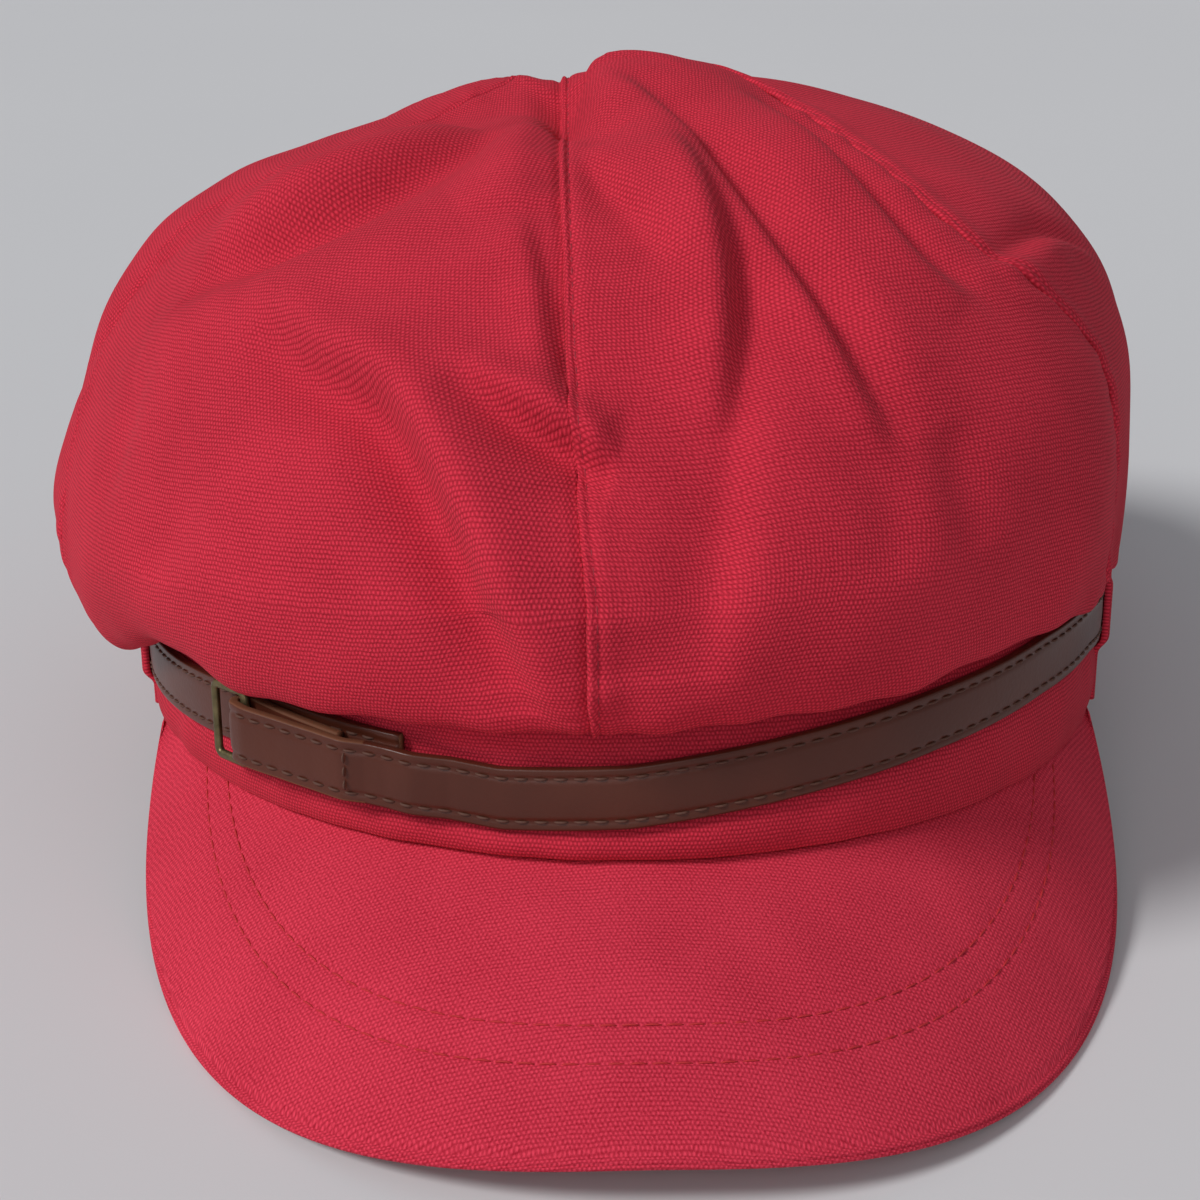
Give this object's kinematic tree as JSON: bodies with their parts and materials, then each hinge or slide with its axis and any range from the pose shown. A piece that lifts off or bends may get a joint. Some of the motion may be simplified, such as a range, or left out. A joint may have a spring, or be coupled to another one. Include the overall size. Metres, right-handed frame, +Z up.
{
  "type": "army cap",
  "caption": "Soft full-crowned cloth cap of six panels over a band, with a curved peak and a narrow leather belt and buckle round the band.",
  "frame": {"origin": "middle of the cap's bounding box in plan, on the surface it rests on", "axes": "-Y is the cap's front, where the peak is; +Z is up; +X is the wearer's left"},
  "size_m": [0.1998, 0.2516, 0.1267],
  "materials": {
    "crown_cloth": "matte plain-weave cotton canvas",
    "band_cloth": "matte plain-weave cotton canvas",
    "visor_cloth": "matte plain-weave cotton canvas over a stiff board",
    "belt_leather": "satin, stitched along both edges",
    "buckle_brass": "dull antique"
  },
  "bodies": {
    "root": {"crown_panel_1": "crown_cloth", "crown_panel_2": "crown_cloth", "crown_panel_3": "crown_cloth", "crown_panel_4": "crown_cloth", "crown_panel_5": "crown_cloth", "crown_panel_6": "crown_cloth", "band": "band_cloth", "visor": "visor_cloth", "belt_loop_left": "band_cloth", "belt_loop_right": "band_cloth", "belt": "belt_leather", "buckle_frame": "buckle_brass"}
  },
  "joints": []
}
